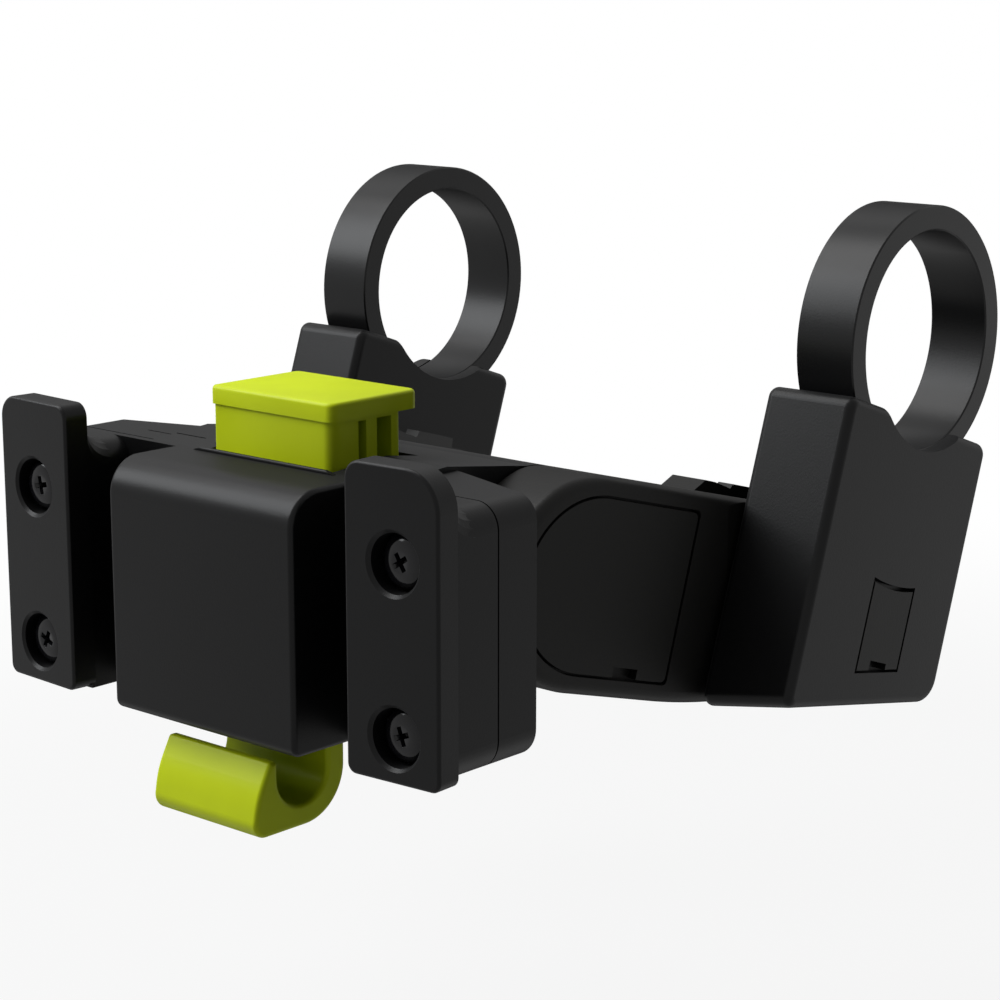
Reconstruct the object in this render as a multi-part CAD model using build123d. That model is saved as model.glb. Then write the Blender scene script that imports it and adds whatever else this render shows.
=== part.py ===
from build123d import *
import os
from math import cos, radians, sin, sqrt, tan

# Quick-release bag mount for a bicycle handlebar, in millimetres.
# X runs along the handlebar, -Y points forward to the bag, +Z is up.
# The origin is on the handlebar axis, midway between the two clamps.

# Clamp rings and the handlebar they hold
bar_r = 15.9            # bore of a clamp ring
ring_wall = 3.57
ring_w = 9.5
ring_edge = 0.2         # bevel of the ring's rims
clamp_x = 47.3          # middle plane of each clamp
lug_half = 4.5          # half length of the lug under the ring
lug_w = 7.0
lug_drop = 6.5          # how far the lug hangs below the ring

# Clamp blocks, drawn in a frame that leans back with its top
block_lean = 18.8
block_w = 14.6
front_wall = 3.8        # block ahead of the bore
rear_wall = 2.7         # block behind the bore
saddle_drop = 11.8      # bar axis down to the two ledges
front_h = 44.0          # ledge down to the underside, at the front
rear_h = 38.9           # the same at the rear
keel = 2.5              # how much lower the underside is on the inner side
block_rear_r = 4.0
block_top_r = 1.9
block_front_r = 1.7
block_edge = 1.2

# Pivot between a block and its arm
pivot_b = 1.0           # behind the middle of the bore
pivot_drop = 42.0       # below the bar axis
pivot_r = 2.5
pivot_head_r = 4.3
pivot_head_h = 4.4
pivot_nut_af = 8.0
pivot_nut_h = 3.8
pivot_web = 4.2         # arm wall between the block and the nut's pocket

# Snap cover over the pivot bolt's head
cap_w = 10.9
cap_rise = 6.6          # top edge above the pivot
cap_lift = 4.9          # bottom edge above the underside of the block
cap_t = 1.5
cap_dish = 0.5          # hollow of the top edge
cap_notch_w = 4.3
cap_notch_h = 1.3

# Screw that draws the ring into the block
strap_b = 9.0           # behind the middle of the bore
strap_r = 2.0
strap_head_r = 3.4
strap_head_h = 2.6
strap_sink = 5.4        # seat of the head above the underside

# Arms
arm_len = 43.9          # pivot to tilt axis
arm_slope = 14.6        # fall of the arm towards the rear
arm_splay = 10.0        # turn of the arm outward towards the rear
arm_reach = 35.3        # outer face at the tilt axis
arm_t = 11.4
barrel_r = 15.06
heel_rise = 2.5         # centre of the rear rounding above the pivot
heel_turn = 22.0        # where the belly runs into that rounding
belly_at = 16.0         # where the underside starts to curve up
arm_edge = 1.8

# Raised rib and inner flange on top of each arm, near the block
rib_t = 5.8
flange_t = 2.6
# Their top lines: distance from the tilt axis, height above the arm
rib_line = ((20.4, -0.4), (22.6, 1.7), (24.5, 1.65), (28.0, 1.05), (31.0, 0.8), (38.0, 0.6))
flange_line = ((30.5, -0.4), (31.8, 1.8), (38.0, 1.7), (42.0, 1.55))

# Snap cover on the outer face of each arm
plug_r = 12.25
plug_len = 16.8         # tilt axis to the straight rear edge
plug_t = 1.6
plug_corner = 0.8
plug_notch_at = 8.85
plug_notch_w = 4.5
plug_notch_h = 1.45

# Tilt bolt through the hub and both arms
tilt_r = 3.0
tilt_head_r = 5.0
tilt_head_h = 3.6
tilt_nut_af = 10.0
tilt_nut_h = 4.0
tilt_seat = 28.4        # seat of head and nut from the middle

# Body: shells around the slide, placed from the tilt axis
hub_half = 23.3
seam_reach = 26.55      # tilt axis forward to the seam of the shells
top_rise = 16.57        # tilt axis up to the top of the body
body_h = 35.25
box_half = 41.45        # half width of the body over its side boxes
box_w = 14.45
box_rise = 0.2          # side box bottom above the boss bottom
box_front = 7.5
box_rear = 7.5
box_top_r = 3.5
box_low_r = 4.2
plate_t = 1.2
flare_start = 38.0      # where the rear of a side box starts to sweep back
flare_run = 5.9         # how far it has swept back at the hub
flare_half = 20.0
crown_rise = 0.8        # top of the hub above the seam's top edge
crown_at = 10.3         # behind the seam
seam_gap = 0.25
seam_depth = 0.8
curb_half = 13.5        # ridge ahead of the button
curb_t = 0.7
curb_rise = 0.5
well_len = 16.7         # seam to the rear of the opening in the top
well_deep = 2.6
line_at = 4.1           # engraved line behind the seam
line_from = 17.0
line_to = 29.3
line_w = 0.3

# Boss between the two channels
boss_half = 17.8
boss_reach = 13.0       # seam to the front face
boss_nose_r = 5.0
boss_chin_r = 1.4
boss_edge = 0.7

# Wings
wing_lip = 0.81         # wing beyond the outer side of its box
wing_reach = 12.68      # seam to the inner end of the front face
wing_sweep = 3.4
wing_t = 3.8
wing_rise = 5.84        # above the top of the body
wing_foot = 0.3         # wing bottom above the boss bottom
wing_top_r = 5.4        # right wing's outer top corner
wing_inner_r = 2.4
left_top_r = 3.2
left_inner_r = 2.0
wing_low_r = 1.4
wing_edge = 0.45
root_r = 5.0            # hollow between the back of a wing and its box
root_steps = 5

# Shell screws, two in each wing
screw_in = 7.95         # inner side of the box to the screw
screw_top = 6.53        # upper screw below the top of the body
screw_pitch = 22.47
screw_r = 1.5
screw_head_r = 3.6
screw_head_h = 2.2
screw_sink = 1.3        # top of the head below the wing's face
screw_rim = 0.45
screw_len = 13.6
recess_r = 3.95
cross_w = 0.8
cross_len = 2.8
cross_deep = 1.3

# Push button
button_half = 11.8
button_back = 0.6       # seam to the front of the cap
button_len = 16.7
button_cap = 2.6
button_rise = 9.05      # top of the cap above the body
button_edge = 0.5
stem_half = 11.5
stem_front = 0.9        # seam to the front of the stem
stem_len = 12.9
stem_deep = 11.7        # below the top of the body
groove_deep = 4.0
groove_skin = 0.4
travel = 5.5

# Release hook
hook_half = 10.24
shank_t = 3.4
shank_back = 0.4        # seam to the front of the shank
trough_r = 4.6
hook_t = 3.05           # below the trough
lip_t = 2.9
lip_bevel = 1.6         # slant of the lip's front edge
lip_bevel_h = 4.4
lip_bend_r = 12.0       # where the slant runs into the hook's front
lip_gap = 2.85          # boss bottom to the lip
hook_drop = 13.05       # boss bottom to the hook's underside
hook_heel_r = 7.4
hook_toe_r = 2.2
ramp = 1.8
hook_edge = 0.7
ear_half = 13.4
ear_top = 2.7           # below the top of the body
ear_h = 8.5
window_half = 4.0
window_h = 3.6
snap_gap = 0.2

# Return spring under the button's stem
coil_r = 3.1
wire_r = 0.42
coil_turns = 5.0
coil_h = 16.0
coil_back = 10.1        # seam to the spring's axis

# Clearances
slide_gap = 0.35        # slider in its guides
run_gap = 0.05          # shafts in their bores
fit_gap = 0.15          # fixed pieces in their pockets
line_gap = 0.25         # visible line round a snap cover
joint_gap = 0.4         # between faces that turn past each other

# Derived places
lean = radians(block_lean)
slope = radians(arm_slope)
splay = radians(arm_splay)
ring_r = bar_r + ring_wall
block_front = bar_r + front_wall
block_rear = bar_r + rear_wall
block_in = clamp_x - block_w / 2
block_out = clamp_x + block_w / 2
pivot_y = pivot_b * cos(lean) - pivot_drop * sin(lean)
pivot_z = -pivot_b * sin(lean) - pivot_drop * cos(lean)
tilt_y = pivot_y - arm_len * cos(slope)
tilt_z = pivot_z + arm_len * sin(slope)
seam_y = tilt_y - seam_reach
top_z = tilt_z + top_rise
low_z = top_z - body_h
box_low = low_z + box_rise
box_in = box_half - box_w
wing_w = box_w + wing_lip
screw_x = box_in + screw_in
arm_out = block_in - joint_gap
barrel_in = hub_half + joint_gap
stem_z = top_z - stem_deep
coil_y = seam_y + coil_back
coil_z = stem_z - coil_h


def across(sketch, x0, x1):
    """Side-view sketch (Y, Z) carried along X."""
    return extrude(Plane.YZ.offset(x0) * sketch, amount=x1 - x0)


def along(sketch, y0, y1):
    """Front-view sketch (X, Z) carried along Y."""
    return extrude(Plane.XZ.offset(-y1) * sketch, amount=y1 - y0)


def upward(sketch, z0, z1):
    """Plan sketch (X, Y) carried along Z."""
    return extrude(Plane.XY.offset(z0) * sketch, amount=z1 - z0)


def leaned(x):
    """Side-view plane in the leaning frame of the clamp blocks."""
    return Plane(origin=(x, 0, 0), x_dir=(0, cos(lean), -sin(lean)), z_dir=(1, 0, 0))


def across_leaned(sketch, x0, x1):
    return extrude(leaned(x0) * sketch, amount=x1 - x0)


def brick(x0, x1, y0, y1, z0, z1):
    box = Box(x1 - x0, y1 - y0, z1 - z0, align=(Align.MIN, Align.MIN, Align.MIN))
    return Pos(x0, y0, z0) * box


def rod(plane, r, length):
    """Cylinder that grows from the plane's origin along its normal."""
    return extrude(plane * Circle(r), amount=length)


def rod_x(r, x0, x1, y, z):
    return rod(Plane(origin=(x0, y, z), z_dir=(1, 0, 0)), r, x1 - x0)


def rod_y(r, x, y0, y1, z):
    return rod(Plane(origin=(x, y0, z), z_dir=(0, 1, 0)), r, y1 - y0)


def rod_z(r, x, y, z0, z1):
    return rod(Plane(origin=(x, y, z0), z_dir=(0, 0, 1)), r, z1 - z0)


def hex_x(flats, x0, x1, y, z):
    sketch = Pos(y, z) * RegularPolygon(flats / 2, 6, major_radius=False)
    return across(sketch, x0, x1)


def rectangle(x0, x1, y0, y1):
    return Polygon((x0, y0), (x1, y0), (x1, y1), (x0, y1))


def corner(sketch, x, y, radius):
    """Sketch with the vertex nearest to (x, y) rounded."""
    vertex = sketch.vertices().sort_by_distance((x, y, 0))[0]
    return fillet(vertex, radius)


def mirrored(piece):
    return mirror(piece, about=Plane.YZ)


def underside(b):
    """Height of the block's underside in its leaning frame."""
    share = (b + block_front) / (block_front + block_rear)
    return -saddle_drop - front_h + share * (front_h - rear_h)


# Clamp block: a leaning wedge with a saddle for the bar
def cap_outline(grow):
    half = cap_w / 2 + grow
    left = pivot_b - half
    right = pivot_b + half
    top = cap_rise - pivot_drop + grow
    low_left = underside(left) + cap_lift - grow
    low_right = underside(right) + cap_lift - grow
    lines = [
        Line((left, top), (left, low_left)),
        Line((left, low_left), (right, low_right)),
        Line((right, low_right), (right, top)),
        ThreePointArc((right, top), (pivot_b, top - cap_dish), (left, top)),
    ]
    return make_face(lines)


def below_keel():
    """Everything under the block's underside, which falls towards the inner side."""
    depth = block_front + block_rear
    face = leaned(0)
    start = face.from_local_coords(Vector(-2 * block_front, underside(-2 * block_front), 0))
    end = face.from_local_coords(Vector(2 * block_rear, underside(2 * block_rear), 0))
    plane = Plane(origin=start, x_dir=(1, 0, 0), z_dir=start - end)
    fall = keel / block_w
    outline = Polygon(
        (block_in - 1, -fall * (block_w + 1)), (block_in - 1, -depth),
        (block_out + 1, -depth), (block_out + 1, fall),
    )
    return extrude(plane * outline, amount=-(end - start).length)


def clamp_block():
    top = -saddle_drop
    low_front = underside(-block_front)
    low_rear = underside(block_rear)
    below = low_front - 2 * keel
    outline = Polygon(
        (-block_front, top), (-block_front, below), (block_rear, below), (block_rear, top)
    )
    outline = corner(outline, block_rear, top, block_top_r)
    outline = corner(outline, -block_front, top, block_front_r)
    block = across_leaned(outline, block_in, block_out) - below_keel()
    for b, low, radius in (
        (block_rear, low_rear, block_rear_r), (-block_front, low_front, block_front_r),
    ):
        spot = leaned(clamp_x).from_local_coords(Vector(b, low, 0))
        block = fillet(block.edges().sort_by_distance(spot)[0], radius)
    ends = block.faces().filter_by(Axis.X)
    block = fillet(ends.edges(), block_edge)
    block -= rod_x(bar_r, block_in, block_out, 0, 0)
    pocket = ring_w / 2 + fit_gap
    block -= rod_x(ring_r + fit_gap, clamp_x - pocket, clamp_x + pocket, 0, 0)
    lug = rectangle(
        strap_b - lug_half - fit_gap, strap_b + lug_half + fit_gap,
        -ring_r - lug_drop - fit_gap, -saddle_drop,
    )
    lug_side = lug_w / 2 + fit_gap
    block -= across_leaned(lug, clamp_x - lug_side, clamp_x + lug_side)
    seat = strap_seat()
    block -= rod(seat, strap_r + run_gap, strap_length())
    block -= rod(seat, strap_head_r + 2 * fit_gap, -strap_sink * 2)
    recess = across_leaned(cap_outline(line_gap), block_out - cap_t, block_out)
    block -= recess
    head_in = block_out - cap_t - pivot_head_h - fit_gap
    block -= rod_x(pivot_head_r + fit_gap, head_in, block_out - cap_t, pivot_y, pivot_z)
    block -= rod_x(pivot_r + run_gap, block_in, head_in, pivot_y, pivot_z)
    return block


# Ring round the bar, with a lug that takes the strap screw
def strap_seat():
    """Plane on the strap screw's seat, facing up along the leaning frame."""
    plane = leaned(clamp_x)
    low = underside(strap_b) + strap_sink
    origin = plane.from_local_coords(Vector(strap_b, low, 0))
    return Plane(origin=origin, x_dir=(1, 0, 0), z_dir=plane.y_dir)


def strap_length():
    bore = sqrt(bar_r ** 2 - strap_b ** 2)
    return -underside(strap_b) - strap_sink - bore - ring_wall


def clamp_ring():
    half = ring_w / 2
    band = rod_x(ring_r, clamp_x - half, clamp_x + half, 0, 0)
    lug = rectangle(
        strap_b - lug_half, strap_b + lug_half,
        -ring_r - lug_drop, -saddle_drop - front_wall,
    )
    bore = rod_x(bar_r, clamp_x - half, clamp_x + half, 0, 0)
    band -= bore
    band = chamfer(band.faces().filter_by(Axis.X).edges(), ring_edge)
    band += across_leaned(lug, clamp_x - lug_w / 2, clamp_x + lug_w / 2) - bore
    band -= rod(strap_seat(), strap_r + run_gap, strap_length())
    return band


def strap_screw():
    seat = strap_seat()
    screw = rod(seat, strap_r, strap_length() - fit_gap)
    head = rod(seat, strap_head_r, -strap_head_h)
    screw += head
    socket = Plane(origin=seat.origin - seat.z_dir * strap_head_h, z_dir=seat.z_dir)
    hexagon = socket * RegularPolygon(strap_r * 0.8, 6, major_radius=False)
    return screw - extrude(hexagon, amount=strap_head_h * 0.6)


def block_cover():
    outline = cap_outline(0)
    left = pivot_b - cap_notch_w / 2
    right = pivot_b + cap_notch_w / 2
    high = underside(pivot_b) + cap_lift + cap_notch_h
    low = underside(left) + cap_lift - cap_notch_h
    outline -= rectangle(left, right, low, high)
    return across_leaned(outline, block_out - cap_t, block_out)


def pivot_bolt():
    seat = block_out - cap_t - pivot_head_h - fit_gap
    tip = arm_out - pivot_web - joint_gap - pivot_nut_h
    bolt = rod_x(pivot_r, tip, seat, pivot_y, pivot_z)
    bolt += rod_x(pivot_head_r, seat, seat + pivot_head_h, pivot_y, pivot_z)
    socket = seat + pivot_head_h * 0.4
    return bolt - hex_x(pivot_r * 1.6, socket, seat + pivot_head_h, pivot_y, pivot_z)


def pivot_nut():
    top = arm_out - pivot_web - joint_gap
    nut = hex_x(pivot_nut_af, top - pivot_nut_h, top, pivot_y, pivot_z)
    return nut - rod_x(pivot_r, top - pivot_nut_h, top, pivot_y, pivot_z)


# Arms: splayed links from the hub's barrels to the blocks
arm_face = Plane(
    origin=(arm_reach, tilt_y, tilt_z),
    x_dir=(sin(splay) * cos(slope), cos(splay) * cos(slope), -sin(slope)),
    z_dir=(cos(splay), -sin(splay), 0),
)
arm_side = Plane(
    origin=(0, tilt_y, tilt_z), x_dir=(0, cos(slope), -sin(slope)), z_dir=(1, 0, 0)
)


def arm_outline():
    """Link profile: round barrel in front, straight top, belly that curves up."""
    heel = Vector(arm_len, heel_rise)
    heel_r = barrel_r - heel_rise
    heel_end = heel + Vector(heel_r, 0)
    turn = radians(heel_turn)
    heel_low = heel + Vector(heel_r * sin(turn), -heel_r * cos(turn))
    top = heel + Vector(0, heel_r)
    start = Vector(belly_at, -barrel_r)
    belly = TangentArc(start, heel_low, tangent=(1, 0))
    lines = [
        Line((0, barrel_r), top),
        ThreePointArc(top, heel_end, heel_low),
        belly,
        Line(start, (0, -barrel_r)),
        ThreePointArc((0, -barrel_r), (-barrel_r, 0), (0, barrel_r)),
    ]
    return make_face(lines)


def arm_shift(t):
    """Plane parallel to the arm's outer face, t further in."""
    return arm_face.offset(-t)


def half_space(plane):
    """Large solid on the outer side of a plane."""
    size = 4 * arm_len
    return plane * Box(size, size, arm_len, align=(Align.CENTER, Align.CENTER, Align.MIN))


def arm_rib(line, thick):
    """Raised strip along the inner edge of the arm's top."""
    base = barrel_r * 0.8
    ridge = [(s, barrel_r + t) for s, t in reversed(line)]
    profile = Polygon((line[0][0], base), (line[-1][0], base), *ridge)
    strip = extrude(arm_side.offset(barrel_in) * profile, amount=arm_len)
    strip -= half_space(arm_shift(arm_t - thick))
    return strip & half_space(arm_shift(arm_t))


def plug_outline(grow):
    outline = Circle(plug_r + grow)
    outline += rectangle(0, plug_len + grow, -plug_r - grow, plug_r + grow)
    outline = corner(outline, plug_len + grow, plug_r + grow, plug_corner)
    return corner(outline, plug_len + grow, -plug_r - grow, plug_corner)


def arm():
    blank = extrude(arm_side.offset(barrel_in) * arm_outline(), amount=arm_len)
    blank -= half_space(arm_face)
    rim = blank.faces().sort_by_distance(arm_face.origin)[0]
    blank = fillet(rim.edges(), arm_edge)
    inner = half_space(arm_shift(arm_t))
    body = blank & (inner + brick(barrel_in, barrel_in + arm_t, tilt_y - 2 * barrel_r, tilt_y, -99, 0))
    body += arm_rib(rib_line, rib_t)
    body += arm_rib(flange_line, flange_t)
    body -= brick(arm_out, arm_out + arm_len, tilt_y, pivot_y + arm_len, pivot_z - arm_len, 0)
    body -= extrude(arm_face * plug_outline(line_gap), amount=-plug_t)
    body -= rod_x(tilt_r + run_gap, 0, arm_reach, tilt_y, tilt_z)
    body -= rod_x(tilt_head_r + 1.0, tilt_seat, arm_reach + 5, tilt_y, tilt_z)
    body -= rod_x(pivot_r + run_gap, 0, arm_out, pivot_y, pivot_z)
    pocket = arm_out - pivot_web
    body -= rod_x(pivot_nut_af * 0.58 + joint_gap, 0, pocket, pivot_y, pivot_z)
    return body


def arm_cover():
    outline = plug_outline(0)
    left = plug_notch_at - plug_notch_w / 2
    outline -= rectangle(left, left + plug_notch_w, -plug_r * 1.2, plug_notch_h - plug_r)
    return extrude(arm_face * outline, amount=-plug_t)


# Tilt bolt and nut
def tilt_bolt():
    bolt = rod_x(tilt_r, -tilt_seat - tilt_nut_h, tilt_seat, tilt_y, tilt_z)
    bolt += rod_x(tilt_head_r, tilt_seat, tilt_seat + tilt_head_h, tilt_y, tilt_z)
    socket = tilt_seat + tilt_head_h * 0.4
    return bolt - hex_x(tilt_r * 1.6, socket, tilt_seat + tilt_head_h, tilt_y, tilt_z)


def tilt_nut():
    nut = hex_x(tilt_nut_af, -tilt_seat - tilt_nut_h, -tilt_seat, tilt_y, tilt_z)
    return nut - rod_x(tilt_r, -tilt_seat - tilt_nut_h, -tilt_seat, tilt_y, tilt_z)


# Shells
def body_front_view():
    """Full outline of the body seen from the front."""
    outline = rectangle(-box_half, box_half, box_low, top_z)
    for side in (-1, 1):
        outline = corner(outline, side * box_half, top_z, box_top_r)
        outline = corner(outline, side * box_half, box_low, box_low_r)
    return outline


def side_box():
    outline = rectangle(box_in, box_half, box_low, top_z)
    outline = corner(outline, box_half, top_z, box_top_r)
    outline = corner(outline, box_in, top_z, box_top_r)
    outline = corner(outline, box_half, box_low, box_low_r)
    return along(outline, seam_y - box_front - wing_t / 2, seam_y)


def wing(top_r, inner_r):
    sweep = radians(wing_sweep)
    face = Plane(
        origin=(box_in, seam_y - wing_reach, 0),
        x_dir=(cos(sweep), sin(sweep), 0),
        z_dir=(sin(sweep), -cos(sweep), 0),
    )
    high = top_z + wing_rise
    low = low_z + wing_foot
    outline = rectangle(0, wing_w, low, high)
    outline = corner(outline, wing_w, high, top_r)
    outline = corner(outline, 0, high, inner_r)
    outline = corner(outline, 0, low, wing_low_r)
    outline = corner(outline, wing_w, low, wing_low_r)
    slab = extrude(face * outline, amount=-wing_t)
    front = slab.faces().sort_by(Axis.Y)[0]
    return fillet(front.edges(), wing_edge)


def wing_root():
    """Hollow between a wing's back and its box, which follows the box's rounded top."""
    back = seam_y - wing_reach + wing_t
    low = top_z - 2 * box_top_r
    turns = [radians(90 * step / root_steps) for step in range(root_steps + 1)]
    inner = [(box_in + box_top_r * (1 - cos(t)), box_top_r * (1 - sin(t))) for t in turns]
    outer = [(box_in + box_half - x, drop) for x, drop in reversed(inner)]
    sections = []
    for x, drop in inner + outer:
        foot = top_z - drop
        middle = root_r * (1 - sqrt(0.5))
        lines = [
            Polyline(
                (back, foot + root_r), (back - 1, foot + root_r), (back - 1, low),
                (back + root_r, low), (back + root_r, foot),
            ),
            ThreePointArc(
                (back + root_r, foot), (back + middle, foot + middle), (back, foot + root_r)
            ),
        ]
        sections.append(Plane.YZ.offset(x) * make_face(lines))
    return loft(sections, ruled=True)


def boss():
    front = seam_y - boss_reach
    outline = rectangle(front, seam_y, low_z, top_z)
    outline = corner(outline, front, top_z, boss_nose_r)
    outline = corner(outline, front, low_z, boss_chin_r)
    block = across(outline, -boss_half, boss_half)
    rims = block.faces().filter_by(Axis.X).edges()
    rims = rims.filter_by(lambda edge: edge.center().Y < seam_y - 0.01)
    return fillet(rims, boss_edge)


def screw_spots():
    for x in (-screw_x, screw_x):
        for row in (0, 1):
            yield x, top_z - screw_top - row * screw_pitch


def screw_face():
    """Wing's front face at the screws."""
    return seam_y - wing_reach + screw_in * tan(radians(wing_sweep))


screw_seat = screw_face() + screw_sink + screw_head_h


def front_shell():
    shell = along(body_front_view(), seam_y - plate_t, seam_y)
    for piece in (side_box(), wing_root()):
        shell += piece
        shell += mirrored(piece)
    shell += wing(wing_top_r, wing_inner_r)
    shell += mirrored(wing(left_top_r, left_inner_r))
    shell += boss()
    for x, z in screw_spots():
        shell -= rod_y(recess_r, x, screw_face() - wing_edge, screw_seat, z)
        shell -= rod_y(screw_r + run_gap, x, screw_seat, seam_y, z)
        turn = radians(wing_sweep) * (1 if x > 0 else -1)
        mouth = Plane(
            origin=(x, screw_face() - 1, z), x_dir=(0, 0, 1), z_dir=(-sin(turn), cos(turn), 0)
        )
        shell -= extrude(mouth * Circle(recess_r + screw_rim + 1), amount=1 + screw_rim, taper=45)
    shell += curb()
    return shell


def curb():
    """Low ridge on the front shell's rim, ahead of the button."""
    foot = top_z - plate_t
    ridge = brick(-curb_half, curb_half, seam_y - plate_t, seam_y - plate_t + curb_t, foot, top_z + curb_rise)
    ends = ridge.edges().filter_by(Axis.Y).group_by(Axis.Z)[-1]
    ridge = chamfer(ends, length=curb_rise * 0.9, length2=curb_rise * 3)
    rims = ridge.edges().filter_by(Axis.X).group_by(Axis.Z)[-1]
    return fillet(rims, curb_t * 0.4)


def rear_side_view():
    """Hub and body behind the seam, seen from the side."""
    crown = Vector(seam_y + crown_at, top_z + crown_rise)
    crest = Vector(tilt_y, tilt_z + barrel_r)
    keel = Vector(tilt_y, tilt_z - barrel_r)
    tail = Vector(tilt_y + barrel_r, tilt_z)
    lines = [
        Polyline((seam_y, low_z), (seam_y, top_z), crown, crest),
        ThreePointArc(crest, tail, keel),
        Polyline(keel, (seam_y + box_rear, box_low), (seam_y + box_rear, low_z), (seam_y, low_z)),
    ]
    return make_face(lines)


def rear_plan():
    """Body behind the seam seen from above, flaring back into the hub."""
    back = seam_y + box_rear
    points = [
        (0, seam_y), (box_half, seam_y), (box_half, back), (flare_start, back),
        (flare_half, back + flare_run), (0, back + flare_run),
    ]
    half = Polygon(*points)
    return half + mirror(half, about=Plane.YZ)


def rear_shell():
    shell = upward(rear_plan(), low_z, top_z + 2)
    shell &= along(body_front_view(), seam_y, tilt_y)
    hub = across(rear_side_view(), -hub_half, hub_half)
    for side in (-1, 1):
        x0 = min(side * hub_half, side * box_half)
        shell -= rod_x(barrel_r + joint_gap, x0, x0 + box_half - hub_half, tilt_y, tilt_z)
    shell += hub
    seam = body_front_view() - offset(body_front_view(), -seam_depth)
    shell -= along(seam, seam_y, seam_y + seam_gap)
    shell -= slide_ways()
    for x0, x1 in ((-line_to, -line_from), (line_from, line_to)):
        line_y = seam_y + line_at
        shell -= brick(x0, x1, line_y, line_y + line_w, top_z - line_w, top_z + crown_rise)
    shell -= rod_x(tilt_r + run_gap, -hub_half, hub_half, tilt_y, tilt_z)
    for x, z in screw_spots():
        shell -= rod_y(screw_r + run_gap, x, seam_y, screw_seat + screw_len + fit_gap, z)
    return shell


# Slide: button, hook and spring inside the rear shell
shank_back_y = seam_y + shank_back + shank_t
stem_back_y = seam_y + stem_front + stem_len
ear_z = top_z - ear_top


def slide_ways():
    """Hollows for the stem, the hook's shank and ears, and the spring."""
    low = stem_z - travel - slide_gap
    ways = brick(
        -stem_half - slide_gap, stem_half + slide_gap,
        seam_y, stem_back_y + slide_gap, low, top_z + 2,
    )
    ways += brick(
        -ear_half - slide_gap, ear_half + slide_gap,
        seam_y, shank_back_y + slide_gap, ear_z - ear_h - travel - slide_gap, ear_z + slide_gap,
    )
    ways += brick(
        -hook_half - slide_gap, hook_half + slide_gap,
        seam_y, shank_back_y + slide_gap, low_z, ear_z,
    )
    ways += rod_z(coil_r + wire_r + slide_gap, 0, coil_y, coil_z, low)
    side = button_half + slide_gap
    ways += brick(-side, side, seam_y, seam_y + well_len, top_z - well_deep, top_z + 2)
    return ways


def push_button():
    front = seam_y + button_back
    high = top_z + button_rise
    cap = brick(-button_half, button_half, front, front + button_len, high - button_cap, high)
    cap = fillet(cap.edges().filter_by(Axis.Z), button_edge)
    cap = fillet(cap.faces().sort_by(Axis.Z)[-1].edges(), button_edge * 0.8)
    stem_y = seam_y + stem_front
    stem = brick(-stem_half, stem_half, stem_y, stem_back_y, stem_z, high - button_cap)
    stem = fillet(stem.edges().filter_by(Axis.Z), button_edge)
    groove_top = high - button_cap - groove_skin
    inner = stem_half - groove_deep
    for start, end in ((4.9, 6.4), (8.4, 11.2)):
        slot = brick(inner, stem_half + 1, stem_y + start, stem_y + end, stem_z, groove_top)
        stem -= slot
        stem -= mirrored(slot)
    stem -= brick(-stem_half, stem_half, stem_y, shank_back_y, stem_z, ear_z + snap_gap)
    button = cap + stem
    catch_z = ear_z - ear_h / 2
    catch = window_half - snap_gap
    half = window_h / 2 - snap_gap
    button += brick(-catch, catch, seam_y + shank_back + 1, shank_back_y, catch_z - half, catch_z + half)
    return button


def hook_outline():
    shank_y = seam_y + shank_back
    centre_y = shank_y - trough_r
    low = low_z - hook_drop
    centre_z = low + hook_t + trough_r
    lip_z = low_z - lip_gap
    lip_back = centre_y - trough_r
    lip_front = lip_back - lip_t
    toe = lip_front - ramp
    bevel_y = lip_front - ramp * lip_bevel_h / (lip_z - low)
    lines = [
        Polyline((shank_back_y, ear_z), (shank_y, ear_z), (shank_y, centre_z)),
        ThreePointArc((shank_y, centre_z), (centre_y, centre_z - trough_r), (lip_back, centre_z)),
        Polyline(
            (lip_back, centre_z), (lip_back, lip_z), (lip_front + lip_bevel, lip_z),
            (bevel_y, lip_z - lip_bevel_h), (toe, low), (shank_back_y, low), (shank_back_y, ear_z),
        ),
    ]
    outline = make_face(lines)
    outline = corner(outline, shank_back_y, low, hook_heel_r)
    outline = corner(outline, toe, low, hook_toe_r)
    outline = corner(outline, bevel_y, lip_z - lip_bevel_h, lip_bend_r)
    outline = corner(outline, lip_back, lip_z, lip_t * 0.15)
    return corner(outline, lip_front + lip_bevel, lip_z, lip_t * 0.15)


def release_hook():
    hook = across(hook_outline(), -hook_half, hook_half)
    rims = hook.faces().filter_by(Axis.X).edges()
    rims = rims.filter_by(lambda edge: edge.center().Z < low_z)
    hook = fillet(rims, hook_edge)
    shank_y = seam_y + shank_back
    hook += brick(-ear_half, ear_half, shank_y, shank_back_y, ear_z - ear_h, ear_z)
    catch_z = ear_z - ear_h / 2
    half = window_h / 2
    hook -= brick(-window_half, window_half, shank_y, shank_back_y, catch_z - half, catch_z + half)
    return hook


def return_spring():
    rise = coil_h - 2 * wire_r
    path = Pos(0, coil_y, coil_z + wire_r) * Helix(rise / coil_turns, rise, coil_r)
    section = Plane(origin=path @ 0, z_dir=path % 0) * RegularPolygon(wire_r, 6)
    return sweep(section, path=path)


# Shell screws with cross recesses
def shell_screw(x, z):
    top = screw_seat - screw_head_h
    head = rod_y(screw_head_r, x, top, screw_seat, z)
    head = fillet(head.faces().sort_by(Axis.Y)[0].edges(), screw_head_h * 0.45)
    half = cross_w / 2
    reach = cross_len / 2
    head -= brick(x - reach, x + reach, top, top + cross_deep, z - half, z + half)
    head -= brick(x - half, x + half, top, top + cross_deep, z - reach, z + reach)
    return head + rod_y(screw_r, x, screw_seat, screw_seat + screw_len, z)


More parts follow.
